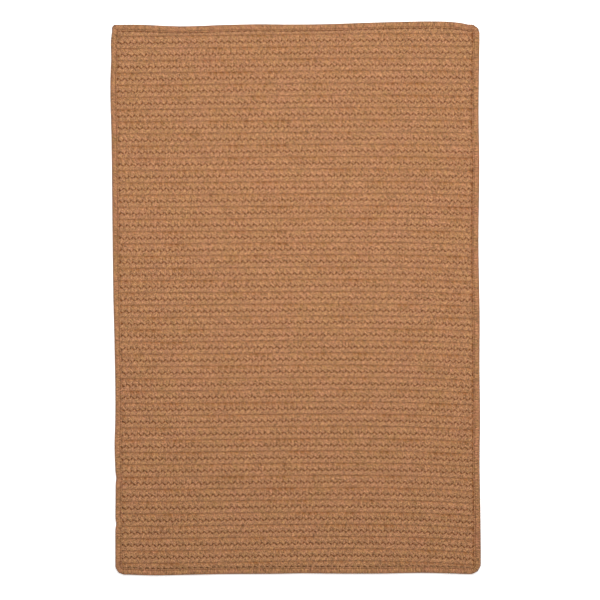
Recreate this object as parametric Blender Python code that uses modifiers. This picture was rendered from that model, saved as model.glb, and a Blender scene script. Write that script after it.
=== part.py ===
# Braided rug: 45 straight flat braids sewn side by side, with one tape folded over the edge all round.
# Metres, +Z up. The rug lies flat on z = 0 with its origin under the middle of its box.
# +Y runs along the rug's length, from the last braid to the first, and +X along the braids.

import math
from collections import namedtuple

import bmesh
import bpy
from mathutils import Vector

MM = 0.001

# Driving dimensions
RUG_WIDTH = 615.7 * MM          # along the braids, over the edge's widest places
RUG_LENGTH = 920.9 * MM         # across the braids, over the edge's widest places
THICKNESS = 9.2 * MM
ROW_COUNT = 45
ROW_PITCH = 20.38 * MM          # from one seam to the next
SEAM_GAP = 0.3 * MM             # clear space between two braids
TAPE_WALL = 1.2 * MM            # thickness of the edge tape
ROW_END_INSET = 3.0 * MM        # where a braid ends inside the tape, in from the edge
PINCH_INSET = 11.6 * MM         # from here outwards the stitching holds the braid pinched
PINCH_RUN = 3.2 * MM            # over this length the braid swells back to its full thickness
PINCHED_THICKNESS = 3.8 * MM
END_STEP = 0.8 * MM             # least length between the cross-sections at a braid's end
CORNER_CLEARANCE = 0.2 * MM     # how far an outer braid's end may reach past its inset at a corner
INNER_RADIUS = 1.0 * MM         # sharpest corner of the tape's inner edges
CORNER_STEPS = 3                # straight runs in each corner's arc
EDGE_MARGIN = 2.0 * MM          # an edge's cross-sections keep this far from the corners' arcs
SHARP_ANGLE = math.radians(50)  # edges sharper than this aren't shaded smooth

# Places along the braids where the seams bend. Between them a seam runs straight.
SEAM_NODES = (-312 * MM, -170 * MM, 0.0, 120 * MM, 220 * MM, 312 * MM)

# The seams aren't quite straight. Across the half width they tilt, arch and bend back by these
# lengths: a middle value, and how it changes towards the first braid's end of the rug.
DRIFT_REACH = 304 * MM
DRIFT_TILT = 2.3 * MM
DRIFT_TILT_TO_ENDS = 1.6 * MM
DRIFT_ARCH = -3.2 * MM
DRIFT_ARCH_TO_TOP = 1.8 * MM
DRIFT_BEND = -3.6 * MM
DRIFT_BEND_TO_TOP = 2.0 * MM

# How far each edge lies in from the rug's box, in millimetres, at places along that edge.
EdgePoint = namedtuple("EdgePoint", "along inward")
LEFT_EDGE = (
    EdgePoint(-440, 8.2),
    EdgePoint(-370, 8.2),
    EdgePoint(-301, 8.6),
    EdgePoint(-241, 7.0),
    EdgePoint(-205, 8.0),
    EdgePoint(-80, 7.0),
    EdgePoint(0, 5.0),
    EdgePoint(120, 3.5),
    EdgePoint(270, 1.8),
    EdgePoint(357, 0.0),
    EdgePoint(400, 1.3),
    EdgePoint(430, 1.1),
    EdgePoint(446, 2.8),
)
RIGHT_EDGE = (
    EdgePoint(-432, 0.0),
    EdgePoint(-360, 0.6),
    EdgePoint(-270, 1.9),
    EdgePoint(-200, 1.2),
    EdgePoint(-110, 2.1),
    EdgePoint(-40, 1.8),
    EdgePoint(85, 3.7),
    EdgePoint(235, 2.5),
    EdgePoint(300, 3.5),
    EdgePoint(400, 2.6),
    EdgePoint(438, 2.2),
)
TOP_EDGE = (
    EdgePoint(-296, 5.6),
    EdgePoint(-270, 5.4),
    EdgePoint(-190, 8.1),
    EdgePoint(-110, 5.6),
    EdgePoint(-60, 4.7),
    EdgePoint(-15, 5.1),
    EdgePoint(50, 4.5),
    EdgePoint(120, 2.2),
    EdgePoint(190, 0.4),
    EdgePoint(235, 0.0),
    EdgePoint(260, 1.0),
    EdgePoint(276, 2.9),
    EdgePoint(289, 5.3),
)
BOTTOM_EDGE = (
    EdgePoint(-281, 1.3),
    EdgePoint(-262, 0.6),
    EdgePoint(-237, 0.0),
    EdgePoint(-180, 1.0),
    EdgePoint(-120, 2.1),
    EdgePoint(-30, 2.7),
    EdgePoint(10, 3.4),
    EdgePoint(60, 3.0),
    EdgePoint(140, 3.0),
    EdgePoint(215, 4.1),
    EdgePoint(262, 3.0),
    EdgePoint(287, 2.2),
)

# Corners: the side of the rug that each lies on, and its radius in millimetres.
Corner = namedtuple("Corner", "side_x side_y radius")
TOP_LEFT = Corner(-1, 1, 5.0)
TOP_RIGHT = Corner(1, 1, 14.0)
BOTTOM_LEFT = Corner(-1, -1, 15.5)
BOTTOM_RIGHT = Corner(1, -1, 18.0)
CORNERS = (TOP_LEFT, TOP_RIGHT, BOTTOM_LEFT, BOTTOM_RIGHT)

# Half of a braid's cross-section, from its middle line to its seam. The across column is a share of
# the half width and the height column a share of the thickness. The top has the plait's middle
# valley, and the underside is flat where it rests.
SectionPoint = namedtuple("SectionPoint", "across height")
BRAID_TOP = (
    SectionPoint(0.0, 0.90),
    SectionPoint(0.45, 1.00),
    SectionPoint(0.86, 0.90),
    SectionPoint(1.0, 0.66),
)
BRAID_UNDERSIDE = (
    SectionPoint(1.0, 0.34),
    SectionPoint(0.88, 0.10),
    SectionPoint(0.70, 0.0),
)

# The tape's outer face in cross-section, in millimetres: from its upper stitched rim, over the rug's
# edge, to its lower stitched rim.
TapePoint = namedtuple("TapePoint", "inset height")
TAPE_SECTION = (
    TapePoint(10.5, 8.0),
    TapePoint(7.5, 9.2),
    TapePoint(3.0, 9.0),
    TapePoint(0.8, 7.4),
    TapePoint(0.0, 4.8),
    TapePoint(0.8, 1.8),
    TapePoint(2.8, 0.0),
    TapePoint(8.0, 0.0),
    TapePoint(10.5, 1.2),
)

YARN_COLOR = (0.43, 0.20, 0.095, 1.0)
TAPE_COLOR = (0.42, 0.19, 0.088, 1.0)


def clear_scene():
    for item in list(bpy.data.objects):
        bpy.data.objects.remove(item, do_unlink=True)


def new_collection(name):
    collection = bpy.data.collections.new(name)
    bpy.context.scene.collection.children.link(collection)
    return collection


def cloth_material(name, color, roughness):
    material = bpy.data.materials.new(name)
    material.use_nodes = True
    shader = material.node_tree.nodes["Principled BSDF"]
    shader.inputs["Base Color"].default_value = color
    shader.inputs["Roughness"].default_value = roughness
    shader.inputs["Metallic"].default_value = 0.0
    material.diffuse_color = color
    return material


def table_value(points, along):
    """Smooth curve through a table's points, level beyond its ends."""
    place = along / MM
    if place <= points[0].along:
        return points[0].inward * MM
    if place >= points[-1].along:
        return points[-1].inward * MM
    index = max(i for i, point in enumerate(points) if point.along <= place)
    start, end = points[index], points[index + 1]
    span = end.along - start.along
    share = (place - start.along) / span
    eased = share * share * (3.0 - 2.0 * share)
    return (start.inward + (end.inward - start.inward) * (share + eased) / 2) * MM


def left_x(y):
    return -RUG_WIDTH / 2 + table_value(LEFT_EDGE, y)


def right_x(y):
    return RUG_WIDTH / 2 - table_value(RIGHT_EDGE, y)


def top_y(x):
    return RUG_LENGTH / 2 - table_value(TOP_EDGE, x)


def bottom_y(x):
    return -RUG_LENGTH / 2 + table_value(BOTTOM_EDGE, x)


def inset_at(x, y):
    """Distance in from the rug's outline, round its corners too."""
    for corner in CORNERS:
        radius = corner.radius * MM
        in_x = x - left_x(y) if corner.side_x < 0 else right_x(y) - x
        in_y = y - bottom_y(x) if corner.side_y < 0 else top_y(x) - y
        if in_x < radius and in_y < radius:
            return radius - math.hypot(radius - in_x, radius - in_y)
    return min(x - left_x(y), right_x(y) - x, top_y(x) - y, y - bottom_y(x))


def seam_curve(number, x):
    """Height in the plan of the seam below a braid; seam 0 would lie above the first one."""
    level = (ROW_COUNT / 2 - number) * ROW_PITCH
    share = x / DRIFT_REACH
    end = level / (RUG_LENGTH / 2)
    tilt = DRIFT_TILT + DRIFT_TILT_TO_ENDS * end * end
    arch = DRIFT_ARCH + DRIFT_ARCH_TO_TOP * end
    bend = DRIFT_BEND + DRIFT_BEND_TO_TOP * end
    return level + tilt * share + arch * (share * share - 1 / 3) + bend * share ** 3


def seam_y(number, x):
    """The same seam as the solids follow it, straight between its nodes."""
    index = max(i for i, node in enumerate(SEAM_NODES[:-1]) if node <= x)
    start, end = SEAM_NODES[index], SEAM_NODES[index + 1]
    share = (x - start) / (end - start)
    return seam_curve(number, start) * (1.0 - share) + seam_curve(number, end) * share


def braid_section(number):
    """The whole cross-section as shares, once round from the middle of the top."""
    half = list(BRAID_TOP) + list(BRAID_UNDERSIDE)
    mirrored = [SectionPoint(-point.across, point.height) for point in reversed(half[1:])]
    if number in (1, ROW_COUNT):
        half.append(SectionPoint(0.0, 0.0))     # the tape's rim runs along the outer braids' middle
    return half + mirrored


def braid_edges(number, x):
    """The lower edge, middle line and upper edge of a braid in the plan, at x."""
    low = seam_y(number, x) + SEAM_GAP / 2
    high = seam_y(number - 1, x) - SEAM_GAP / 2
    middle = (low + high) / 2
    if number == 1:
        high = top_y(x) - ROW_END_INSET
        middle = top_y(x) - PINCH_INSET
    if number == ROW_COUNT:
        low = bottom_y(x) + ROW_END_INSET
        middle = bottom_y(x) + PINCH_INSET
    return low, middle, high


def end_inset(number, side_x, x, y):
    """Where a braid ends, in from the side edge: the outer braids keep inside the rounded corners."""
    if number not in (1, ROW_COUNT):
        return ROW_END_INSET
    side_y = 1 if number == 1 else -1
    corner = next(item for item in CORNERS if (item.side_x, item.side_y) == (side_x, side_y))
    edge_inset = top_y(x) - y if side_y > 0 else y - bottom_y(x)
    radius = corner.radius * MM
    inner = radius - ROW_END_INSET + CORNER_CLEARANCE
    rise = max(radius - edge_inset, 0.0)
    reach = math.sqrt(max(inner * inner - rise * rise, 0.0))
    return max(radius - reach, ROW_END_INSET)


def pinched_height(x, y, height):
    """A height in the section, drawn towards the middle of the rug's thickness near its edge."""
    share = min(max((inset_at(x, y) - PINCH_INSET) / PINCH_RUN, 0.0), 1.0)
    scale = PINCHED_THICKNESS / THICKNESS
    scale += (1.0 - scale) * share
    return THICKNESS / 2 + (height - THICKNESS / 2) * scale


def plan_y(number, across, x):
    """Place in the plan, along Y, of a point of a braid's section, from its share of the half width."""
    low, middle, high = braid_edges(number, x)
    reach = high - middle if across > 0 else middle - low
    return middle + across * reach


def braid_ring(number, x):
    """One cross-section of a braid."""
    ring = []
    for point in braid_section(number):
        y = plan_y(number, point.across, x)
        z = pinched_height(x, y, point.height * THICKNESS)
        ring.append(Vector((x, y, z)))
    return ring


def end_ring(number, side_x, inset, step):
    """A cross-section near a braid's end, which follows the rug's side edge at an inset."""
    edge_x = left_x if side_x < 0 else right_x
    start_x = edge_x(((ROW_COUNT + 1) / 2 - number) * ROW_PITCH) - side_x * inset
    ring = []
    for point in braid_section(number):
        y = plan_y(number, point.across, start_x)
        depth = max(inset, end_inset(number, side_x, start_x, y) + step)
        x = edge_x(y) - side_x * depth
        y = plan_y(number, point.across, x)
        z = pinched_height(x, y, point.height * THICKNESS)
        ring.append(Vector((x, y, z)))
    return ring


def stations(number):
    """Where a braid's cross-sections stand along it; the outer braids follow the uneven edge too."""
    places = set(SEAM_NODES[1:-1])
    if number == 1:
        places.update(row.along * MM for row in TOP_EDGE[2:-2])
    if number == ROW_COUNT:
        places.update(row.along * MM for row in BOTTOM_EDGE[1:-1])
    return sorted(places)


def braid_rings(number):
    """All of a braid's cross-sections: its end, where it is pinched and where it is full, and between."""
    ends = [(ROW_END_INSET, 0.0), (PINCH_INSET, END_STEP), (PINCH_INSET + PINCH_RUN, 2 * END_STEP)]
    rings = [end_ring(number, -1, inset, step) for inset, step in ends]
    rings += [braid_ring(number, x) for x in stations(number)]
    rings += [end_ring(number, 1, inset, step) for inset, step in reversed(ends)]
    return rings


def loft(name, rings, capped):
    """A mesh through closed rings of points that differ in shape, as a solid or as an open sheet."""
    mesh = bmesh.new()
    rows = [[mesh.verts.new(point) for point in ring] for ring in rings]
    count = len(rows[0])
    for near, far in zip(rows, rows[1:]):
        for i in range(count):
            j = (i + 1) % count
            mesh.faces.new((near[i], near[j], far[j], far[i]))
    if capped:
        mesh.faces.new(rows[0])
        mesh.faces.new(rows[-1])
    bmesh.ops.recalc_face_normals(mesh, faces=mesh.faces)
    data = bpy.data.meshes.new(name)
    mesh.to_mesh(data)
    mesh.free()
    return data


def add_object(name, data, material, collection):
    data.materials.append(material)
    data.shade_smooth()
    data.set_sharp_from_angle(angle=SHARP_ANGLE)
    item = bpy.data.objects.new(name, data)
    collection.objects.link(item)
    return item


def corner_points(corner, inset):
    """An arc round one corner at an inset, from the left or right edge towards the top or bottom."""
    edge_x = left_x if corner.side_x < 0 else right_x
    edge_y = bottom_y if corner.side_y < 0 else top_y
    tip_x = edge_x(corner.side_y * RUG_LENGTH / 2)
    tip_y = edge_y(corner.side_x * RUG_WIDTH / 2)
    radius = max(corner.radius * MM - inset, INNER_RADIUS)
    centre_x = tip_x - corner.side_x * (inset + radius)
    centre_y = tip_y - corner.side_y * (inset + radius)
    points = []
    for step in range(CORNER_STEPS + 1):
        angle = math.radians(90) * step / CORNER_STEPS
        x = centre_x + corner.side_x * radius * math.cos(angle)
        y = centre_y + corner.side_y * radius * math.sin(angle)
        points.append((x, y))
    return points


def edge_places(points, start, end, inset, axis):
    """A table's places along its edge, fitted between the arcs of the corners at an inset."""
    arc_end = -1 if axis == 0 else 0    # each arc ends on the top or bottom edge and starts on a side
    outer_low = corner_points(start, 0.0)[arc_end][axis]
    outer_high = corner_points(end, 0.0)[arc_end][axis]
    low = corner_points(start, inset)[arc_end][axis]
    high = corner_points(end, inset)[arc_end][axis]
    places = []
    for row in points:
        place = row.along * MM
        if outer_low + EDGE_MARGIN < place < outer_high - EDGE_MARGIN:
            share = (place - outer_low) / (outer_high - outer_low)
            places.append(low + share * (high - low))
    return places


def outline(inset):
    """The rug's outline, drawn in by an inset, as points once round from the top left corner."""
    points = corner_points(TOP_LEFT, inset)
    points += [(x, top_y(x) - inset) for x in edge_places(TOP_EDGE, TOP_LEFT, TOP_RIGHT, inset, 0)]
    points += reversed(corner_points(TOP_RIGHT, inset))
    right = edge_places(RIGHT_EDGE, BOTTOM_RIGHT, TOP_RIGHT, inset, 1)
    points += [(right_x(y) - inset, y) for y in reversed(right)]
    points += corner_points(BOTTOM_RIGHT, inset)
    bottom = edge_places(BOTTOM_EDGE, BOTTOM_LEFT, BOTTOM_RIGHT, inset, 0)
    points += [(x, bottom_y(x) + inset) for x in reversed(bottom)]
    points += reversed(corner_points(BOTTOM_LEFT, inset))
    points += [(left_x(y) + inset, y) for y in edge_places(LEFT_EDGE, BOTTOM_LEFT, TOP_LEFT, inset, 1)]
    return points


def build_binding(material, collection):
    """The tape: an open sheet over the rug's edge, given its thickness inwards."""
    rings = []
    for point in TAPE_SECTION:
        rings.append([Vector((x, y, point.height * MM)) for x, y in outline(point.inset * MM)])
    item = add_object("edge_binding", loft("edge_binding", rings, capped=False), material, collection)
    wall = item.modifiers.new("wall", "SOLIDIFY")
    wall.thickness = TAPE_WALL
    wall.offset = -1.0


def main():
    clear_scene()
    rug = new_collection("braided_rug")
    yarn = cloth_material("braid_yarn", YARN_COLOR, 0.9)
    tape = cloth_material("binding_yarn", TAPE_COLOR, 0.88)
    for number in range(1, ROW_COUNT + 1):
        name = f"braid_row_{number:02d}"
        add_object(name, loft(name, braid_rings(number), capped=True), yarn, rug)
    build_binding(tape, rug)


main()
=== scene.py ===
import math

import bmesh
import bpy
import numpy as np
from mathutils import Matrix, Vector


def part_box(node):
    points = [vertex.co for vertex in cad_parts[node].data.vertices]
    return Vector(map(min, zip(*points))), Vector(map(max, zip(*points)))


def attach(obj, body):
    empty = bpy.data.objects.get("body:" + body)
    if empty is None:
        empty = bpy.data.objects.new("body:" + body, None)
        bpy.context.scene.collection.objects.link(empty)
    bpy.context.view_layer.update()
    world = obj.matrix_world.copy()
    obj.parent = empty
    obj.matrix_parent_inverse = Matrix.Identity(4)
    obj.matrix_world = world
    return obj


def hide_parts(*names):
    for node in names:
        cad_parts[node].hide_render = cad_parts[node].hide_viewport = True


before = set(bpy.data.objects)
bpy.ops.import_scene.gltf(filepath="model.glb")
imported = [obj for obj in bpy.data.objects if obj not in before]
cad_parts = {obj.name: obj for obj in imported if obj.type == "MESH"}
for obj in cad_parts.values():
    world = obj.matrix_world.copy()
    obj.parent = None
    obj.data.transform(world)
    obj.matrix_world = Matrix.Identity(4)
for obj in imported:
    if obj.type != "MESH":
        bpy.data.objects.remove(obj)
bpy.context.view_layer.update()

mm = 0.001
tapeNode = "edge_binding"
rowNodes = sorted(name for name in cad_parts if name.startswith("braid_row_"))
rowCount = len(rowNodes)
tapeLow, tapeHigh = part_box(tapeNode)
rugWidth = tapeHigh.x - tapeLow.x
rugLength = tapeHigh.y - tapeLow.y
rugThickness = tapeHigh.z - tapeLow.z
print("frame: rug", round(rugWidth, 4), "by", round(rugLength, 4), "m,", rowCount, "braids")

# how the rug lies: its outline and the run of its seams
lie = {
    "rowPitch": 20.38 * mm,
    # how far each edge lies in from the rug's box, in mm: (place along the edge, inward)
    "left": ((-440, 8.2), (-370, 8.2), (-301, 8.6), (-241, 7.0), (-205, 8.0), (-80, 7.0), (0, 5.0),
             (120, 3.5), (270, 1.8), (357, 0.0), (400, 1.3), (430, 1.1), (446, 2.8)),
    "right": ((-432, 0.0), (-360, 0.6), (-270, 1.9), (-200, 1.2), (-110, 2.1), (-40, 1.8), (85, 3.7),
              (235, 2.5), (300, 3.5), (400, 2.6), (438, 2.2)),
    "top": ((-296, 5.6), (-270, 5.4), (-190, 8.1), (-110, 5.6), (-60, 4.7), (-15, 5.1), (50, 4.5),
            (120, 2.2), (190, 0.4), (235, 0.0), (260, 1.0), (276, 2.9), (289, 5.3)),
    "bottom": ((-281, 1.3), (-262, 0.6), (-237, 0.0), (-180, 1.0), (-120, 2.1), (-30, 2.7), (10, 3.4),
               (60, 3.0), (140, 3.0), (215, 4.1), (262, 3.0), (287, 2.2)),
    # corner radii in mm, by the side of the rug they lie on
    "corners": {(-1, 1): 5.0, (1, 1): 14.0, (-1, -1): 15.5, (1, -1): 18.0},
    # small dents in the left edge, in mm: place, depth, half length
    "dents": ((-298, 1.1, 7.0), (-374, 1.4, 6.0)),
    # how far the seams tilt, arch and bend back over half the width: the value at the rug's middle, then its
    # growth to both ends for the tilt, and to the top end for the others
    "driftReach": 304 * mm,
    "tilt": (2.3 * mm, 1.6 * mm),
    "arch": (-3.2 * mm, 1.8 * mm),
    "bend": (-3.6 * mm, 2.0 * mm),
}


def tableValue(points, place):
    # smooth curve through a table's points, level beyond its ends
    along = np.array([row[0] for row in points], float)
    inward = np.array([row[1] for row in points], float)
    place = np.clip(np.asarray(place, float) / mm, along[0], along[-1])
    slope = np.gradient(inward, along)
    slope[0] = slope[-1] = 0.0
    i = np.clip(np.searchsorted(along, place, side="right") - 1, 0, len(along) - 2)
    span = along[i + 1] - along[i]
    s = (place - along[i]) / span
    curve = (2 * s**3 - 3 * s**2 + 1) * inward[i] + (3 * s**2 - 2 * s**3) * inward[i + 1]
    curve += ((s**3 - 2 * s**2 + s) * slope[i] + (s**3 - s**2) * slope[i + 1]) * span
    return np.maximum(curve, 0.0) * mm


def leftX(y):
    dents = sum(deep * np.exp(-(((y / mm - place) / half) ** 2)) for place, deep, half in lie["dents"])
    return -rugWidth / 2 + tableValue(lie["left"], y) + dents * mm


def rightX(y):
    return rugWidth / 2 - tableValue(lie["right"], y)


def topY(x):
    return rugLength / 2 - tableValue(lie["top"], x)


def bottomY(x):
    return -rugLength / 2 + tableValue(lie["bottom"], x)


def edgeX(side, y):
    return leftX(y) if side < 0 else rightX(y)


def edgeY(side, x):
    return bottomY(x) if side < 0 else topY(x)


def insetAt(x, y):
    # distance in from the outline, round its corners too
    inset = np.minimum(np.minimum(x - leftX(y), rightX(y) - x), np.minimum(topY(x) - y, y - bottomY(x)))
    for (sideX, sideY), size in lie["corners"].items():
        radius = size * mm
        inX = radius - sideX * (edgeX(sideX, y) - x)
        inY = radius - sideY * (edgeY(sideY, x) - y)
        rounded = (inX > 0) & (inY > 0)
        inset = np.where(rounded, radius - np.hypot(inX, inY), inset)
    return inset


def seamY(number, x):
    # the seam below a braid; seam 0 would lie above the first one
    level = (rowCount / 2 - number) * lie["rowPitch"]
    share = x / lie["driftReach"]
    end = level / (rugLength / 2)
    tilt = lie["tilt"][0] + lie["tilt"][1] * end * end
    arch = lie["arch"][0] + lie["arch"][1] * end
    bend = lie["bend"][0] + lie["bend"][1] * end
    return level + tilt * share + arch * (share * share - 1 / 3) + bend * share**3


def smoothStep(low, high, value):
    s = np.clip((value - low) / (high - low), 0.0, 1.0)
    return s * s * (3 - 2 * s)


def wander(seed, length, spacing):
    # a slow random curve along a length: returns a function of the place
    source = np.random.default_rng(seed)
    count = int(length / spacing) + 4
    knots = source.uniform(-1, 1, count)
    places = np.arange(count) * spacing - length / 2 - spacing

    def value(x):
        i = np.clip(((x - places[0]) / spacing).astype(int), 0, count - 2)
        s = smoothStep(0, 1, (x - places[i]) / spacing)
        return knots[i] * (1 - s) + knots[i + 1] * s

    return value


def finishMesh(mesh, name, material):
    # a mesh made whole: doubles merged, open ends filled, faces turned outwards
    bmesh.ops.remove_doubles(mesh, verts=mesh.verts, dist=0.001 * mm)
    openEdges = [edge for edge in mesh.edges if edge.is_boundary]
    if openEdges:
        bmesh.ops.holes_fill(mesh, edges=openEdges, sides=0)
    bmesh.ops.recalc_face_normals(mesh, faces=mesh.faces)
    data = bpy.data.meshes.new(name)
    mesh.to_mesh(data)
    mesh.free()
    data.materials.append(material)
    data.shade_smooth()
    piece = bpy.data.objects.new(name, data)
    bpy.context.scene.collection.objects.link(piece)
    return piece


# shader node groups, built once and placed in each yarn's material

def newGroup(name, inputs, outputs):
    group = bpy.data.node_groups.new(name, "ShaderNodeTree")
    for label, kind, value in inputs:
        socket = group.interface.new_socket(name=label, in_out="INPUT", socket_type=kind)
        if value is not None:
            socket.default_value = value
    for label, kind in outputs:
        group.interface.new_socket(name=label, in_out="OUTPUT", socket_type=kind)
    return group, group.nodes.new("NodeGroupInput"), group.nodes.new("NodeGroupOutput")


def addNode(tree, kind, *wires, **settings):
    # a node with its settings, and its inputs joined or set in order; None leaves one as it is
    node = tree.nodes.new(kind)
    for label, value in settings.items():
        setattr(node, label, value)
    for socket, source in zip(node.inputs, wires):
        if source is None:
            continue
        if isinstance(source, bpy.types.NodeSocket):
            tree.links.new(source, socket)
        else:
            socket.default_value = source
    return node


def mathNode(tree, operation, *wires, clamp=False):
    return addNode(tree, "ShaderNodeMath", *wires, operation=operation, use_clamp=clamp).outputs[0]


def sharesNode(tree, first, second, shares):
    # the sum of two values, each taken by its share
    return mathNode(tree, "ADD", mathNode(tree, "MULTIPLY", first, shares[0]),
                    mathNode(tree, "MULTIPLY", second, shares[1]))


def rangeNode(tree, value, low, high, toLow, toHigh, smooth=False):
    kind = "SMOOTHSTEP" if smooth else "LINEAR"
    node = addNode(tree, "ShaderNodeMapRange", value, low, high, toLow, toHigh, interpolation_type=kind)
    return node.outputs[0]


def noiseNode(tree, vector, size, detail=2.0, roughness=0.5):
    # size is the noise's own grain, in the vector's unit
    node = addNode(tree, "ShaderNodeTexNoise")
    tree.links.new(vector, node.inputs["Vector"])
    node.inputs["Scale"].default_value = 1 / size
    node.inputs["Detail"].default_value = detail
    node.inputs["Roughness"].default_value = roughness
    return node.outputs["Fac"]


def fleckNode(tree, vector, softness):
    # three random values for each cell of the vector, running softly into the next cell's
    node = addNode(tree, "ShaderNodeTexVoronoi", vector, voronoi_dimensions="2D", feature="SMOOTH_F1")
    node.inputs["Scale"].default_value = 1.0
    node.inputs["Smoothness"].default_value = softness
    return addNode(tree, "ShaderNodeSeparateColor", node.outputs["Color"]).outputs


def mixNode(tree, share, first, second, blend="MIX"):
    node = tree.nodes.new("ShaderNodeMix")
    node.data_type = "RGBA"
    node.blend_type = blend
    for label, source in (("Factor_Float", share), ("A_Color", first), ("B_Color", second)):
        socket = next(item for item in node.inputs if item.identifier == label)
        if isinstance(source, bpy.types.NodeSocket):
            tree.links.new(source, socket)
        else:
            socket.default_value = source
    return next(item for item in node.outputs if item.identifier == "Result_Color")


# what all the yarns share; a fleck is one cell of the yarn's map
wool = {
    "patchSizes": (42 * mm, 13 * mm),     # the slow colour patches and the quicker ones among them
    "patchShares": (0.6, 0.4),
    "fibreBend": 0.7,             # how often the fibres bend, to each cell
    "fibreSwing": 2.4,            # and how far, in cells
    "fleckSoftness": 0.2,
    "lengthScale": (0.35, 0.12, 1.0),     # lengths of one hue: their cells against the flecks'
    "lengthSoftness": 0.35,
    "hueShares": (0.8, 0.2),      # how much of the hue comes from the flecks and from those lengths
    "dyed": 0.62,                 # how far the dyed fibres hide the ground colour
    "fine": (0.9, 3.0, 0.7),      # the finest fibres: size in cells, detail, roughness
    "grainShares": (0.8, 0.5),    # how much of the grain comes from the flecks and from the finest fibres
    "grainMiddle": 0.65,          # the grain that leaves the colour as it is
    "darkest": 0.12,
    "waver": 9 * mm,              # the length over which a yarn's line wavers
    "waverAcross": 0.4,           # how much of that its neighbours don't share
    "yarnWall": 0.32,             # how far from the groove beside it a yarn's back is full, in yarns
    "plyWall": 0.35,              # and a ply's
    "twistShares": (0.6, 0.4),    # how much of the twist's height is the yarns' and how much their plies'
    "creaseWarmth": (0.64, 1.0, 1.5),     # powers of the light left in a crease: red, green, blue
    "fibreRange": (0.3, 1.2),     # the grain's reach, and the roughness at its two ends
    "roughness": (0.98, 0.82),
    "reliefShares": (0.6, 0.4),   # how much of the relief is the twist's and how much the fibres'
    "relief": 0.5 * mm,
    "gloss": 0.2,
    "sheen": 0.2,
    "sheenRoughness": 0.5,
    "sheenTint": (1.0, 0.8, 0.62, 1),
}


def makeHeather():
    # dyed staple fibres: warm and straw-coloured flecks, in slow patches over the whole rug
    inputs = (("Place", "NodeSocketVector", None), ("Yarn", "NodeSocketVector", None),
              ("Ground", "NodeSocketColor", (0.4, 0.2, 0.1, 1)),
              ("Rust", "NodeSocketColor", (0.4, 0.15, 0.1, 1)),
              ("Straw", "NodeSocketColor", (0.4, 0.25, 0.1, 1)),
              ("Fleck", "NodeSocketFloat", 0.3), ("Patch", "NodeSocketFloat", 0.5))
    outputs = (("Colour", "NodeSocketColor"), ("Fibre", "NodeSocketFloat"))
    group, given, result = newGroup("heatherWool", inputs, outputs)
    value = given.outputs
    slow, quick = (noiseNode(group, value["Place"], size) for size in wool["patchSizes"])
    patch = sharesNode(group, slow, quick, wool["patchShares"])
    patch = mathNode(group, "MULTIPLY", mathNode(group, "SUBTRACT", patch, 0.5), value["Patch"])
    bend = addNode(group, "ShaderNodeTexNoise", value["Yarn"])       # the fibres don't lie straight
    bend.inputs["Scale"].default_value = wool["fibreBend"]
    swing = (wool["fibreSwing"],) * 3
    bent = addNode(group, "ShaderNodeVectorMath", bend.outputs["Color"], swing, value["Yarn"],
                   operation="MULTIPLY_ADD").outputs[0]
    wide = addNode(group, "ShaderNodeVectorMath", bent, wool["lengthScale"], operation="MULTIPLY").outputs[0]
    flecks = fleckNode(group, bent, wool["fleckSoftness"])
    lengths = fleckNode(group, wide, wool["lengthSoftness"])
    fine = noiseNode(group, value["Yarn"], *wool["fine"])
    hue = sharesNode(group, flecks[1], lengths[1], wool["hueShares"])
    hue = mathNode(group, "ADD", hue, patch, clamp=True)
    dyed = mixNode(group, hue, value["Rust"], value["Straw"])
    colour = mixNode(group, wool["dyed"], value["Ground"], dyed)
    grain = sharesNode(group, flecks[0], fine, wool["grainShares"])
    tone = mathNode(group, "SUBTRACT", grain, wool["grainMiddle"])
    tone = mathNode(group, "ADD", mathNode(group, "MULTIPLY", tone, value["Fleck"]), 1.0)
    tone = mathNode(group, "MAXIMUM", tone, wool["darkest"])
    shade = addNode(group, "ShaderNodeCombineColor", tone, tone, tone).outputs[0]
    group.links.new(mixNode(group, 1.0, colour, shade, "MULTIPLY"), result.inputs["Colour"])
    group.links.new(grain, result.inputs["Fibre"])
    return group


def makeTwist():
    # yarns side by side in a strand, each with its plies laid slantwise round it
    inputs = (("Map", "NodeSocketVector", None), ("Yarns", "NodeSocketFloat", 6.0),
              ("Lay", "NodeSocketFloat", 300.0), ("Drift", "NodeSocketFloat", 30.0),
              ("Slide", "NodeSocketFloat", 0.5))
    outputs = (("Height", "NodeSocketFloat"), ("Groove", "NodeSocketFloat"))
    group, given, result = newGroup("yarnTwist", inputs, outputs)
    value = given.outputs
    along, across = addNode(group, "ShaderNodeSeparateXYZ", value["Map"]).outputs[:2]
    yarn = mathNode(group, "MULTIPLY", across, value["Yarns"])
    yarn = mathNode(group, "ADD", yarn, mathNode(group, "MULTIPLY", along, value["Drift"]))
    waver = addNode(group, "ShaderNodeCombineXYZ", mathNode(group, "MULTIPLY", along, 1 / wool["waver"]),
                    mathNode(group, "MULTIPLY", yarn, wool["waverAcross"])).outputs[0]
    slide = mathNode(group, "MULTIPLY", noiseNode(group, waver, 1.0, 1.0), value["Slide"])
    yarn = mathNode(group, "ADD", yarn, slide)
    beside = mathNode(group, "PINGPONG", yarn, 0.5)       # 0 between two yarns, 0.5 on a yarn's back
    back = rangeNode(group, beside, 0.0, wool["yarnWall"], 0.0, 1.0, smooth=True)
    turn = mathNode(group, "ADD", mathNode(group, "MULTIPLY", along, value["Lay"]), yarn)
    turn = mathNode(group, "PINGPONG", turn, 0.5)
    ply = rangeNode(group, turn, 0.0, wool["plyWall"], 0.0, 1.0, smooth=True)
    group.links.new(sharesNode(group, back, ply, wool["twistShares"]), result.inputs["Height"])
    group.links.new(mathNode(group, "SUBTRACT", 1.0, back), result.inputs["Groove"])
    return group


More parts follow.
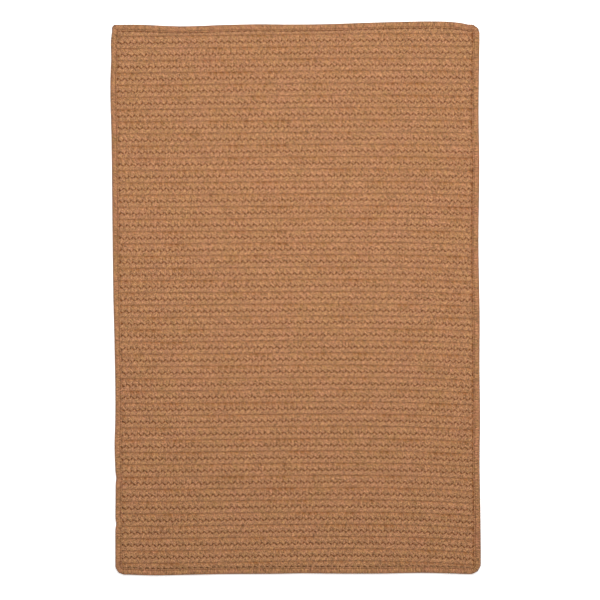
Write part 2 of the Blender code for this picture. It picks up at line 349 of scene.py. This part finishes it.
def makeCrease():
    # the light that is lost down between the strands, by depth under the rug's nearer face, and along a
    # line; what is left there is warmer, because it has met more yarn on its way
    inputs = (("Place", "NodeSocketVector", None), ("Thickness", "NodeSocketFloat", rugThickness),
              ("From", "NodeSocketFloat", 0.5 * mm), ("To", "NodeSocketFloat", 3 * mm),
              ("Loss", "NodeSocketFloat", 0.5), ("Line", "NodeSocketFloat", 0.0))
    group, given, result = newGroup("creaseShade", inputs, (("Shade", "NodeSocketColor"),))
    value = given.outputs
    height = addNode(group, "ShaderNodeSeparateXYZ", value["Place"]).outputs[2]
    depth = mathNode(group, "MINIMUM", height, mathNode(group, "SUBTRACT", value["Thickness"], height))
    share = rangeNode(group, depth, value["From"], value["To"], 0.0, 1.0, smooth=True)
    kept = mathNode(group, "SUBTRACT", 1.0, mathNode(group, "MULTIPLY", share, value["Loss"]))
    kept = mathNode(group, "MULTIPLY", kept, mathNode(group, "SUBTRACT", 1.0, value["Line"]))
    warm = [mathNode(group, "POWER", kept, power) for power in wool["creaseWarmth"]]
    group.links.new(addNode(group, "ShaderNodeCombineColor", *warm).outputs[0], result.inputs["Shade"])
    return group


heatherWool = makeHeather()
yarnTwist = makeTwist()
creaseShade = makeCrease()

# the yarns' own colours and finishes; their map's first axis runs along them in metres, and its second
# crosses them, in strands for the braids and in metres for the binding
yarns = {
    "braidYarn": {
        "ground": (0.386, 0.197, 0.091), "rust": (0.435, 0.187, 0.125), "straw": (0.354, 0.204, 0.067),
        "fleck": 1.8, "patch": 0.8,           # how strong the flecks and the slow patches of hue are
        "cells": (1200, 72.0),                # flecks to each unit of the map, along and across
        "yarns": 12.0, "lay": 520.0,          # yarns side by side in a unit, turns of their plies to a metre
        "drift": 31.0, "slide": 0.6,          # yarns crossed in a metre along the strand, and their waver
        "loss": 0.7,                          # light lost in a crease, from the one depth to the other
        "from": 1.6 * mm, "to": 3.1 * mm,
        "groove": 0.3, "seam": 0.72,          # light lost between two yarns, and between two rows
        "bump": 0.7},
    "bindingYarn": {
        "ground": (0.356, 0.179, 0.083), "rust": (0.41, 0.166, 0.104), "straw": (0.328, 0.19, 0.065),
        "fleck": 1.7, "patch": 1.5, "cells": (380, 2000),
        "yarns": 1 / (2.6 * mm), "lay": 700.0, "drift": 0.0, "slide": 0.15,
        "loss": 0.6, "from": 0.8 * mm, "to": 3.2 * mm, "groove": 0.42, "seam": 0.0, "bump": 0.7},
    "stitchThread": {
        "ground": (0.15, 0.066, 0.029), "rust": (0.17, 0.066, 0.033), "straw": (0.14, 0.07, 0.026),
        "fleck": 0.5, "patch": 1.0, "cells": (900, 900),
        "yarns": 900.0, "lay": 900.0, "drift": 0.0, "slide": 0.0,
        "loss": 0.0, "from": 1 * mm, "to": 4 * mm, "groove": 0.1, "seam": 0.0, "bump": 0.3},
}


def yarnMaterial(name, mapped=True):
    look = yarns[name]
    material = bpy.data.materials.new(name)
    material.use_nodes = True
    tree = material.node_tree
    shader = tree.nodes["Principled BSDF"]
    place = tree.nodes.new("ShaderNodeTexCoord").outputs["Object"]
    strand = addNode(tree, "ShaderNodeUVMap", uv_map="yarnMap").outputs[0] if mapped else place
    scale = (*look["cells"], look["cells"][0])
    cells = addNode(tree, "ShaderNodeVectorMath", strand, scale, operation="MULTIPLY")
    heather = addNode(tree, "ShaderNodeGroup", node_tree=heatherWool)
    twist = addNode(tree, "ShaderNodeGroup", node_tree=yarnTwist)
    crease = addNode(tree, "ShaderNodeGroup", node_tree=creaseShade)
    tree.links.new(place, heather.inputs["Place"])
    tree.links.new(cells.outputs[0], heather.inputs["Yarn"])
    tree.links.new(strand, twist.inputs["Map"])
    tree.links.new(place, crease.inputs["Place"])
    crease.inputs["Thickness"].default_value = rugThickness
    for label in ("Ground", "Rust", "Straw"):
        heather.inputs[label].default_value = (*look[label.lower()], 1)
    for node, labels in ((heather, ("Fleck", "Patch")), (twist, ("Yarns", "Lay", "Drift", "Slide")),
                         (crease, ("From", "To", "Loss"))):
        for label in labels:
            node.inputs[label].default_value = look[label.lower()]
    line = mathNode(tree, "MULTIPLY", twist.outputs["Groove"], look["groove"])
    if look["seam"]:
        # painted shade along the line where two rows are sewn side to side, and beside the binding's lip on
        # the right
        paintedShadeLine = addNode(tree, "ShaderNodeAttribute", attribute_name="paintedShadeLine").outputs["Fac"]
        line = mathNode(tree, "MAXIMUM", line, mathNode(tree, "MULTIPLY", paintedShadeLine, look["seam"]))
    tree.links.new(line, crease.inputs["Line"])
    colour = mixNode(tree, 1.0, heather.outputs["Colour"], crease.outputs["Shade"], "MULTIPLY")
    tree.links.new(colour, shader.inputs["Base Color"])
    rough = rangeNode(tree, heather.outputs["Fibre"], *wool["fibreRange"], *wool["roughness"])
    tree.links.new(rough, shader.inputs["Roughness"])
    bump = addNode(tree, "ShaderNodeBump")
    bump.inputs["Strength"].default_value = look["bump"]
    bump.inputs["Distance"].default_value = wool["relief"]
    height = sharesNode(tree, twist.outputs["Height"], heather.outputs["Fibre"], wool["reliefShares"])
    tree.links.new(height, bump.inputs["Height"])
    tree.links.new(bump.outputs["Normal"], shader.inputs["Normal"])
    shader.inputs["Specular IOR Level"].default_value = wool["gloss"]
    shader.inputs["Sheen Weight"].default_value = wool["sheen"]
    shader.inputs["Sheen Roughness"].default_value = wool["sheenRoughness"]
    shader.inputs["Sheen Tint"].default_value = wool["sheenTint"]
    return material


braidYarn = yarnMaterial("braidYarn")
bindingYarn = yarnMaterial("bindingYarn")
stitchThread = yarnMaterial("stitchThread", mapped=False)
print("yarns:", ", ".join(yarns))

# the braids: three strands of yarn each
plait = {
    "strands": 3,
    "stitch": 10.05 * mm,         # from one chevron to the next
    "reach": 5.5 * mm,            # how far a strand swings to either side of its row's middle line
    "sharpness": -0.03,           # 0 swings like a sine, more crosses the middle at a lower angle
    "lift": 2.5 * mm,             # how far it rises and dips from the middle of the thickness
    "flatTop": 1.2,               # 0 rises like a sine, more stays up for longer
    "strandWidth": 7.6 * mm,
    "spread": 0.12,               # wider where it turns at the row's sides, narrower in the middle
    "strandThickness": 4.7 * mm,
    "swell": 0.6,                 # thicker where it turns at the row's sides
    "swellSharp": 2,              # more keeps that swelling closer to the turns
    "squareness": 0.66,           # exponent of the strand's rounded section
    "groove": 0.09,               # depth of the lines between its yarns, as a share
    "looseAlong": 0.35 * mm,      # each half swing is a little different: along the row,
    "looseRise": 0.10,            # and in its rise, width and thickness, as shares
    "looseWidth": 0.05,
    "looseThick": 0.05,
    "sides": 12,
    "halfTurnSteps": (0, 25, 55, 90, 125, 155),   # cross-sections in each half swing, in degrees
    "endGap": 0.6 * mm,           # none lies nearer to the row's end than this
    # where the random draws start for a row's first stitch, its loose swings, its seams and their shade
    "stitchSeed": 1000,
    "looseSeed": 3000,
    "gripSeed": 4000,
    "shadeSeed": 6000,
    "rowHalf": 6.1 * mm,          # half the row's width before it is fitted between its seams
    "wall": 14,                   # how sharply its sides flatten against the neighbours
    "overlap": 1.03,              # the rows press into each other by this much
    "grip": 0.4 * mm,             # how unevenly a seam presses
    "gripRun": 35 * mm,           # the length over which that changes
    "middleShare": 0.42,          # where the two halves of a row meet, from its lower seam
    # under 1 the valleys between strands are filled: in the row's middle, and at its sides
    "relief": (2.0, 0.14),
    "reliefReach": (0.0, 0.4),    # shares of the half row between which it changes
    "draw": 0.45,                 # under 1 the crossings are drawn in to the row's middle
    "slant": 0.8 * mm,            # how far a stitch leans back from the row's middle to its sides
    "slantTurn": (0.02, 0.14),    # how roundly it turns there, and the root that starts it at 0
    "faceWall": 8,                # how sharply the strands flatten at the rug's faces
    "sideDrop": 0.3,              # how much lower the row stands at its seams
    "dropFrom": 0.6,              # the share of the half row where that begins
    "seamReach": (0.8, 0.94),     # shares of the half row between which the seam's shade sets in
    "seamBelow": 0.5,             # the share of that shade that a row has on its lower side
    "seamUneven": 0.25,           # how far that shade comes and goes along the seam
    "shadeRun": 12 * mm,          # the length over which it does
    "endInset": 3.0 * mm,         # where the braids end under the binding, in from the rug's edge
    "pinchInset": 10.9 * mm,      # where the binding lets go of them, and how soon they are full again
    "pinchRun": 2.6 * mm,
    "pinchedThickness": 5.4 * mm,
    "firstMiddle": 11.2 * mm,     # the outer braids' middle lines, in from the top and bottom edges
    "lastMiddle": 10.4 * mm,
    # painted shade: a darker line beside the tape's lip, on the right side only, in from the rug's edge
    "lipShade": 1.0,
    "lipReach": (11.0 * mm, 13.4 * mm),
}


def strandStations(phase, startX, endX, turn):
    # places along the row where a strand has its cross-sections, and its phase there
    first = math.floor((startX * turn + phase) / math.pi) - 1
    last = math.ceil((endX * turn + phase) / math.pi) + 1
    steps = np.radians(plait["halfTurnSteps"])
    phases = (np.arange(first, last)[:, None] * math.pi + steps[None, :]).ravel()
    x = (phases - phase) / turn
    inside = (x > startX + plait["endGap"]) & (x < endX - plait["endGap"])
    x = np.concatenate([[startX], x[inside], [endX]])
    return x, x * turn + phase


def strandPoints(number, strand, startX, endX):
    # the strand's surface in its straight row: x along, y across it, z from the middle of the thickness
    turn = 2 * math.pi / (plait["strands"] * plait["stitch"])
    rowPhase = np.random.default_rng(plait["stitchSeed"] + number).uniform(0, 2 * math.pi)
    phase = rowPhase + strand * 2 * math.pi / plait["strands"]
    x, tau = strandStations(phase, startX, endX, turn)
    # four slow random curves with a knot at each half swing, and knots to spare
    source = np.random.default_rng(plait["looseSeed"] + number * 7 + strand)
    knots = source.uniform(-1, 1, (4, 64))
    place = (tau - tau[0]) / math.pi
    i = place.astype(int)
    s = smoothStep(0, 1, place - i)
    loose = knots[:, i] * (1 - s) + knots[:, i + 1] * s
    sharp = plait["sharpness"]
    swing = (np.cos(tau) + sharp * np.cos(3 * tau)) / (1 + sharp)
    rise = np.sin(2 * tau)
    rise = rise * (1 + plait["flatTop"]) / (1 + plait["flatTop"] * np.abs(rise))
    centre = np.stack([
        x + plait["looseAlong"] * loose[0],
        plait["reach"] * swing,
        plait["lift"] * rise * (1 + plait["looseRise"] * loose[1]),
    ], axis=1)
    tangent = np.gradient(centre, axis=0)
    tangent /= np.linalg.norm(tangent, axis=1)[:, None]
    side = np.cross([0, 0, 1.0], tangent)
    side /= np.linalg.norm(side, axis=1)[:, None]
    up = np.cross(tangent, side)
    angle = 2 * math.pi * np.arange(plait["sides"] + 1) / plait["sides"]
    power = plait["squareness"]
    ridge = 1 - plait["groove"] * (np.arange(plait["sides"] + 1) % 2)
    acrossShare = np.sign(np.cos(angle)) * np.abs(np.cos(angle)) ** power * ridge
    throughShare = np.sign(np.sin(angle)) * np.abs(np.sin(angle)) ** power * ridge
    width = plait["strandWidth"] / 2 * (1 + plait["spread"] * np.cos(2 * tau))
    width = width * (1 + plait["looseWidth"] * loose[2])
    thick = plait["strandThickness"] / 2 * (1 + plait["swell"] * np.abs(np.cos(tau)) ** plait["swellSharp"])
    thick = thick * (1 + plait["looseThick"] * loose[3])
    surface = centre[None, :, :] + (acrossShare[:, None] * width[None, :])[:, :, None] * side[None, :, :]
    surface = surface + (throughShare[:, None] * thick[None, :])[:, :, None] * up[None, :, :]
    travelled = np.concatenate([[0], np.cumsum(np.linalg.norm(np.diff(centre, axis=0), axis=1))])
    return surface, travelled          # surface[side, ring]


def placeInRow(number, points):
    # from the straight row into the rug: between its two seams, pinched where the binding holds it
    x, across, rise = points[..., 0], points[..., 1], points[..., 2]
    half = plait["rowHalf"]
    for side, seam in ((1, number - 1), (-1, number)):
        grip = plait["grip"] * wander(plait["gripSeed"] + seam, rugWidth, plait["gripRun"])(x)
        across = np.where(across * side > 0, across * (1 + grip / half), across)
    share = across / half
    share = share * (plait["draw"] + (1 - plait["draw"]) * np.abs(share))
    share = share / (1 + np.abs(share) ** plait["wall"]) ** (1 / plait["wall"])
    x = x - plait["slant"] * (np.sqrt(share * share + plait["slantTurn"][0]) - plait["slantTurn"][1])
    low, high = seamY(number, x), seamY(number - 1, x)
    middle = low + (high - low) * plait["middleShare"]
    if number == 1:
        high = topY(x) - plait["endInset"]
        middle = topY(x) - plait["firstMiddle"]
    if number == rowCount:
        low = bottomY(x) + plait["endInset"]
        middle = bottomY(x) + plait["lastMiddle"]
    y = middle + share * plait["overlap"] * np.where(share > 0, high - middle, middle - low)
    x = np.clip(x, leftX(y) + plait["endInset"], rightX(y) - plait["endInset"])
    if number in (1, rowCount):
        x, y = keepInCorners(x, y)
    inset = insetAt(x, y)
    full = smoothStep(plait["pinchInset"], plait["pinchInset"] + plait["pinchRun"], inset)
    squeeze = plait["pinchedThickness"] / rugThickness
    limit = rugThickness / 2
    rise = rise / (1 + np.abs(rise / limit) ** plait["faceWall"]) ** (1 / plait["faceWall"])
    away = np.minimum(np.abs(share), 1.0)
    atSide = smoothStep(*plait["reliefReach"], away)
    power = plait["relief"][0] + (plait["relief"][1] - plait["relief"][0]) * atSide
    rise = np.sign(rise) * limit * np.abs(rise / limit) ** power
    rise = rise * (1 - plait["sideDrop"] * smoothStep(plait["dropFrom"], 1.0, away))
    z = limit + rise * (squeeze + (1 - squeeze) * full)
    seed = plait["shadeSeed"] + number
    above, below = (wander(seed + i, rugWidth, plait["shadeRun"])(x) for i in (0, 1))
    uneven = np.where(share > 0, above, below)
    # painted shade near the seams, stronger on a row's upper side and coming and going along it
    shade = smoothStep(*plait["seamReach"], away) * (1 + plait["seamUneven"] * (uneven - 1))
    shade = shade * np.where(share > 0, 1.0, plait["seamBelow"])
    # painted shade beside the binding's lip on the right side
    shade = np.maximum(shade, plait["lipShade"] * (1 - smoothStep(*plait["lipReach"], rightX(y) - x)))
    return np.stack([x, y, z], axis=-1), shade


def keepInCorners(x, y):
    # an outer braid's ends stay inside the rounded corners
    for (sideX, sideY), size in lie["corners"].items():
        radius = size * mm
        inner = radius - plait["endInset"]
        reachX = radius - sideX * (edgeX(sideX, y) - x)
        reachY = radius - sideY * (edgeY(sideY, x) - y)
        away = np.hypot(reachX, reachY)
        outside = (reachX > 0) & (reachY > 0) & (away > inner)
        pull = np.where(outside, inner / np.maximum(away, 1e-9), 1.0)
        x = x - sideX * reachX * (1 - pull)
        y = y - sideY * reachY * (1 - pull)
    return x, y


def plaitRow(number, node):
    # three plaited strands, each a grid rolled up into a tube
    mesh = bmesh.new()
    uv = mesh.loops.layers.uv.new("yarnMap")
    # a share of painted shade for each point: at the seams between rows, and beside the binding's lip
    paintedShadeLine = mesh.verts.layers.float.new("paintedShadeLine")
    middleY = ((rowCount + 1) / 2 - number) * lie["rowPitch"]
    startX = float(leftX(middleY)) + plait["endInset"]
    endX = float(rightX(middleY)) - plait["endInset"]
    flatWidth, flatLength = 0.0, 0.0
    for strand in range(plait["strands"]):
        surface, travelled = strandPoints(number, strand, startX, endX)
        around = np.linalg.norm(np.diff(surface, axis=0), axis=2).mean(axis=1)
        girth = np.concatenate([[0], np.cumsum(around)])
        flatWidth += float(girth[-1]) / 2
        flatLength = max(flatLength, float(travelled[-1]))
        placed, paintedShadeShares = placeInRow(number, surface)
        sides, rings = placed.shape[:2]
        grid = bmesh.ops.create_grid(mesh, x_segments=rings - 1, y_segments=sides - 1, size=0.5,
                                     calc_uvs=True)["verts"]
        for vert, point, share in zip(grid, placed.reshape(-1, 3).tolist(), paintedShadeShares.ravel().tolist()):
            vert.co = point
            vert[paintedShadeLine] = share
        strandNumber = number * plait["strands"] + strand
        for face in {face for vert in grid for face in vert.link_faces}:
            for loop in face.loops:
                u, v = loop[uv].uv
                ring, side = int(round(u * (rings - 1))), int(round(v * (sides - 1)))
                loop[uv].uv = (travelled[ring], strandNumber + girth[side] / girth[-1])
    piece = finishMesh(mesh, f"plait_{number:02d}", braidYarn)
    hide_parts(node)
    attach(piece, "root")
    return piece


plaits = [plaitRow(i + 1, node) for i, node in enumerate(rowNodes)]
print("braids:", len(plaits), "rows,", sum(len(p.data.polygons) for p in plaits), "faces")

# the binding: a ribbed tape folded over the rug's edge, with a sewn groove near its lips
tape = {
    # the tape's section as (inset from the edge, height) in mm: top lip, over the edge, bottom lip
    "outside": ((11.2, 7.7), (10.7, 8.4), (9.7, 8.4), (8.8, 7.3), (7.9, 8.7), (5.8, 9.2), (3.6, 9.0),
                (1.6, 8.0), (0.35, 6.4), (0.0, 4.6), (0.35, 2.8), (1.6, 1.1), (3.6, 0.15), (5.8, 0.0),
                (7.9, 0.1), (8.8, 1.4), (9.7, 0.5), (10.7, 0.6), (11.2, 1.5)),
    "inside": ((10.2, 1.9), (2.4, 2.6), (1.5, 4.6), (2.4, 6.6), (10.2, 7.3)),
    "ribPitch": 2.6 * mm,
    "ribDepth": 0.24 * mm,        # between a rib's top and the line beside it
    "ribUneven": 0.45,            # share by which the ribs differ
    "lipRibs": 0.4,               # share of their depth that is left at the lips' edges
    "innerRadius": 1.0 * mm,      # the tightest turn of a lip at a corner
    "cornerStations": 6,          # at least so many half ribs round a corner
    "widthWander": 0.5 * mm,      # how unevenly the lips run, the length over which that changes,
    "widthRun": 45 * mm,          # and the insets between which it sets in
    "widthReach": (5 * mm, 11 * mm),
    "heightWander": 0.25 * mm,    # how unevenly high the tape stands, over which length,
    "heightRun": 28 * mm,         # and the heights between which it sets in
    "heightReach": (6.5 * mm, 8.5 * mm),
    "closeRun": 60 * mm,          # both fade out where the tape's start meets its end
    "ribSeed": 77,                # where the random draws start
    "widthSeed": 501,
    "heightSeed": 502,
    # folds at the corners: (side x, side y, share of the turn, depth in mm, half width in ribs)
    "pleats": ((1, 1, 0.62, 0.8, 1.2), (1, 1, 0.2, 0.5, 1.0), (-1, 1, 0.5, 0.7, 1.0),
               (-1, -1, 0.35, 0.5, 1.2), (-1, -1, 0.75, 0.6, 1.0), (1, -1, 0.3, 0.5, 1.2),
               (1, -1, 0.7, 0.6, 1.2)),
}


def cornerPoints(sideX, sideY, turn, inset):
    # points of the curve that runs at this inset round a corner, from the side edge at turn 0 to the end
    # edge at 90 degrees
    radius = max(lie["corners"][(sideX, sideY)] * mm - inset, tape["innerRadius"])
    turn = np.asarray(turn, float)
    fromSide = inset + radius * (1 - np.cos(turn))
    fromEnd = inset + radius * (1 - np.sin(turn))
    x, y = sideX * (rugWidth / 2 - fromSide), sideY * (rugLength / 2 - fromEnd)
    for _ in range(3):
        x = edgeX(sideX, y) - sideX * fromSide
        y = edgeY(sideY, x) - sideY * fromEnd
    return np.stack([x, y], axis=-1)


def tapeRuns():
    # counterclockwise from the lower right: the stations of each corner and of the edge after it, as shares,
    # two for each rib
    sides = ((1, -1), (1, 1), (-1, 1), (-1, -1))
    runs = []
    for k, (sideX, sideY) in enumerate(sides):
        radius = lie["corners"][(sideX, sideY)] * mm
        nextRadius = lie["corners"][sides[(k + 1) % 4]] * mm
        length = (rugLength if k % 2 == 0 else rugWidth) - radius - nextRadius
        turnCount = max(tape["cornerStations"], 2 * round(radius * math.pi / 2 / tape["ribPitch"]))
        edgeCount = 2 * round(length / tape["ribPitch"])
        runs.append((sideX, sideY, np.arange(turnCount) / turnCount, np.arange(edgeCount) / edgeCount))
    return runs


def tapeCurve(inset):
    # the closed curve of stations that runs at one inset
    points = []
    runs = tapeRuns()
    for k, (sideX, sideY, turnShares, edgeShares) in enumerate(runs):
        upward = k % 2 == 0                # along a long side next, so the corner turns from its end edge
        start, stop = (math.pi / 2, 0.0) if upward else (0.0, math.pi / 2)
        points.append(cornerPoints(sideX, sideY, start + (stop - start) * turnShares, inset))
        leave = cornerPoints(sideX, sideY, stop, inset)
        arrive = cornerPoints(*runs[(k + 1) % 4][:2], stop, inset)
        between = leave + (arrive - leave) * edgeShares[:, None]
        if upward:
            between[:, 0] = edgeX(sideX, between[:, 1]) - sideX * inset
        else:
            between[:, 1] = edgeY(sideY, between[:, 0]) - sideY * inset
        points.append(between)
    return np.concatenate(points)


def tapeSurface():
    # every point of the tape: [section point, station]
    section = np.array(tape["outside"] + tape["inside"]) * mm
    outside = len(tape["outside"])
    count = len(tapeCurve(0.0))
    source = np.random.default_rng(tape["ribSeed"])
    ahead, behind = np.roll(section, -1, axis=0), np.roll(section, 1, axis=0)
    away = np.stack([(ahead - behind)[:, 1], -(ahead - behind)[:, 0]], axis=1)
    away /= np.linalg.norm(away, axis=1)[:, None]        # out of the tape, as (inset, height)
    rib = np.where(np.arange(count) % 2 == 0, 0.0, -1.0) * tape["ribDepth"]
    rib *= 1 + tape["ribUneven"] * source.uniform(-1, 1, count)
    cornerStart = 0
    for sideX, sideY, turnShares, edgeShares in tapeRuns():
        for pleatX, pleatY, share, deep, half in tape["pleats"]:
            if (pleatX, pleatY) == (sideX, sideY):
                place = cornerStart + round(share * len(turnShares))
                apart = (np.arange(count) - place + count // 2) % count - count // 2
                rib -= deep * mm * np.exp(-(apart / (2 * half)) ** 2)
        cornerStart += len(turnShares) + len(edgeShares)
    places = np.arange(count) * tape["ribPitch"] / 2
    length = count * tape["ribPitch"] / 2
    close = smoothStep(0, tape["closeRun"], places) * smoothStep(0, tape["closeRun"], length - places)
    lips = wander(tape["widthSeed"], 2 * length, tape["widthRun"])(places)
    lips = lips * tape["widthWander"] * close
    heights = wander(tape["heightSeed"], 2 * length, tape["heightRun"])(places)
    heights = heights * tape["heightWander"] * close
    surface = np.zeros((len(section), count, 3))
    for i, (inset, height) in enumerate(section):
        onOutside = i < outside            # the ribs lie there only, and fade at the lips' edges
        depth = rib * onOutside
        if i in (0, outside - 1):
            depth = depth * tape["lipRibs"]
        lean = lips * smoothStep(*tape["widthReach"], inset)
        base = tapeCurve(inset)
        inward = tapeCurve(inset + 0.5 * mm) - base       # which way is in, at each station
        inward /= np.maximum(np.linalg.norm(inward, axis=1), 1e-9)[:, None]
        shift = depth * away[i, 0] + lean
        surface[i, :, :2] = base + inward * shift[:, None]
        rest = height + depth * away[i, 1]
        if onOutside:
            rest = rest - abs(heights) * smoothStep(*tape["heightReach"], height)
        surface[i, :, 2] = np.clip(rest, 0.0, rugThickness)
    return surface


def gridPiece(name, surface, along, across, material):
    # a grid rolled both ways; its map runs round the section first and along the piece second
    points, count = surface.shape[:2]
    looped = np.concatenate([surface, surface[:, :1]], axis=1)
    looped = np.concatenate([looped, looped[:1]], axis=0)
    mesh = bmesh.new()
    uv = mesh.loops.layers.uv.new("yarnMap")
    grid = bmesh.ops.create_grid(mesh, x_segments=count, y_segments=points, size=0.5,
                                 calc_uvs=True)["verts"]
    for vert, point in zip(grid, looped.reshape(-1, 3).tolist()):
        vert.co = point
    for face in mesh.faces:
        for loop in face.loops:
            u, v = loop[uv].uv
            loop[uv].uv = (across[int(round(v * points))], along[int(round(u * count))])
    return finishMesh(mesh, name, material)


def makeBinding():
    surface = tapeSurface()
    points, count = surface.shape[:2]
    section = np.array(tape["outside"] + tape["inside"] + tape["outside"][:1]) * mm
    across = np.concatenate([[0], np.cumsum(np.linalg.norm(np.diff(section, axis=0), axis=1))])
    along = (np.arange(count + 1) + 1) * tape["ribPitch"] / 2     # the map's yarns part where the ribs do
    piece = gridPiece("binding", surface, along, across, bindingYarn)
    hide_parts(tapeNode)
    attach(piece, "root")
    return piece


def tapeFlatSize():
    # the tape before it was folded: its width from lip to lip, and the rug's way round
    section = np.array(tape["outside"]) * mm
    edge = tapeCurve(0.0)
    width = np.linalg.norm(np.diff(section, axis=0), axis=1).sum()
    length = np.linalg.norm(np.roll(edge, -1, axis=0) - edge, axis=1).sum()
    return float(width), float(length)


# the line of stitches that holds the binding, in its groove on both faces
stitching = {
    "inset": 8.8 * mm,
    "pitch": 4.2 * mm,
    "half": (1.5 * mm, 0.5 * mm, 0.4 * mm),   # half a stitch: along, across, up
    "heights": (7.75 * mm, 1.05 * mm),        # the stitches' middles on the top and on the underside
    "uneven": 0.25 * mm,          # how far one lies off the line, and how far it turns, in radians
    "unevenTurn": 0.12,
    "segments": (6, 4),
    "seed": 91,
}


def makeStitches():
    path = tapeCurve(stitching["inset"])
    path = np.concatenate([path, path[:1]])
    reach = np.concatenate([[0], np.cumsum(np.linalg.norm(np.diff(path, axis=0), axis=1))])
    count = round(reach[-1] / stitching["pitch"])
    source = np.random.default_rng(stitching["seed"])
    start = bmesh.new()
    around, through = stitching["segments"]
    bmesh.ops.create_uvsphere(start, u_segments=around, v_segments=through, radius=1.0,
                              matrix=Matrix.Diagonal((*stitching["half"], 1)))
    one = bpy.data.meshes.new("stitch")
    start.to_mesh(one)
    start.free()
    mesh = bmesh.new()
    for face, height in enumerate(stitching["heights"]):
        for i in range(count):
            here = (i + 0.5 * face) / count * reach[-1]
            x, y = (float(np.interp(here, reach, path[:, axis])) for axis in (0, 1))
            nextX, nextY = (float(np.interp(here + 1 * mm, reach, path[:, axis])) for axis in (0, 1))
            turn = math.atan2(nextY - y, nextX - x)
            turn += source.uniform(-stitching["unevenTurn"], stitching["unevenTurn"])
            offX, offY = source.uniform(-1, 1, 2) * stitching["uneven"]
            stand = Matrix.Translation((x + offX, y + offY, height)) @ Matrix.Rotation(turn, 4, "Z")
            one.transform(stand)
            mesh.from_mesh(one)
            one.transform(stand.inverted())
    bpy.data.meshes.remove(one)
    piece = finishMesh(mesh, "binding_stitches", stitchThread)
    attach(piece, "root")
    return piece


binding = makeBinding()
stitches = makeStitches()
tapeFlatSize()
print("binding:", len(binding.data.polygons), "faces, stitches:", len(stitches.data.polygons), "faces")

studio = {
    "lens": 200.0,
    "sensor": 36.0,
    "viewWidth": 995.9 * mm,      # what the picture spans at the rug's top
    "middle": (7.24 * mm, -2.69 * mm),
    "farthest": 50,
    "floorHalf": 20.0,            # far enough to fill the picture in low views too
    "floorDrop": 0.05 * mm,
    "floorGlow": 0.55,            # keeps the paper white out to the picture's corners
    "paper": (0.92, 0.92, 0.92, 1),
    "paperRoughness": 0.9,
    "paperGloss": 0.1,
    "keyPlace": (0.12, 0.35, 1.6),
    "keyTarget": (0, 0.05, 0),
    "keySize": 0.4,
    "keyPower": 28,
    "skyPower": 0.4,
}


def makeCamera():
    data = bpy.data.cameras.new("camera")
    data.lens = studio["lens"]
    data.sensor_width = studio["sensor"]
    data.clip_end = studio["farthest"]
    distance = studio["viewWidth"] * studio["lens"] / studio["sensor"]
    camera = bpy.data.objects.new("camera", data)
    camera.location = (*studio["middle"], rugThickness + distance)
    bpy.context.scene.collection.objects.link(camera)
    bpy.context.scene.camera = camera


def paperMaterial():
    material = bpy.data.materials.new("floorPaper")
    material.use_nodes = True
    shader = material.node_tree.nodes["Principled BSDF"]
    shader.inputs["Base Color"].default_value = studio["paper"]
    shader.inputs["Roughness"].default_value = studio["paperRoughness"]
    shader.inputs["Specular IOR Level"].default_value = studio["paperGloss"]
    shader.inputs["Emission Color"].default_value = (1, 1, 1, 1)
    shader.inputs["Emission Strength"].default_value = studio["floorGlow"]
    return material


def makeFloor():
    mesh = bmesh.new()
    bmesh.ops.create_grid(mesh, x_segments=2, y_segments=2, size=studio["floorHalf"],
                          matrix=Matrix.Translation((0, 0, -studio["floorDrop"])))
    data = bpy.data.meshes.new("floor")
    mesh.to_mesh(data)
    mesh.free()
    data.materials.append(paperMaterial())
    floor = bpy.data.objects.new("floor", data)
    bpy.context.scene.collection.objects.link(floor)


def makeKeyLight():
    data = bpy.data.lights.new("keyLight", "AREA")
    data.shape = "DISK"
    data.size = studio["keySize"]
    data.energy = studio["keyPower"]
    light = bpy.data.objects.new("keyLight", data)
    light.location = studio["keyPlace"]
    toTarget = Vector(studio["keyTarget"]) - Vector(studio["keyPlace"])
    light.rotation_euler = toTarget.to_track_quat("-Z", "Y").to_euler()
    bpy.context.scene.collection.objects.link(light)


def makeSky():
    world = bpy.data.worlds.new("studio")
    world.use_nodes = True
    background = world.node_tree.nodes["Background"]
    background.inputs["Color"].default_value = (1, 1, 1, 1)
    background.inputs["Strength"].default_value = studio["skyPower"]
    bpy.context.scene.world = world


makeCamera()
makeFloor()
makeKeyLight()
makeSky()
bpy.context.scene.view_settings.view_transform = "Standard"
print("studio: camera, paper floor, key light and sky")
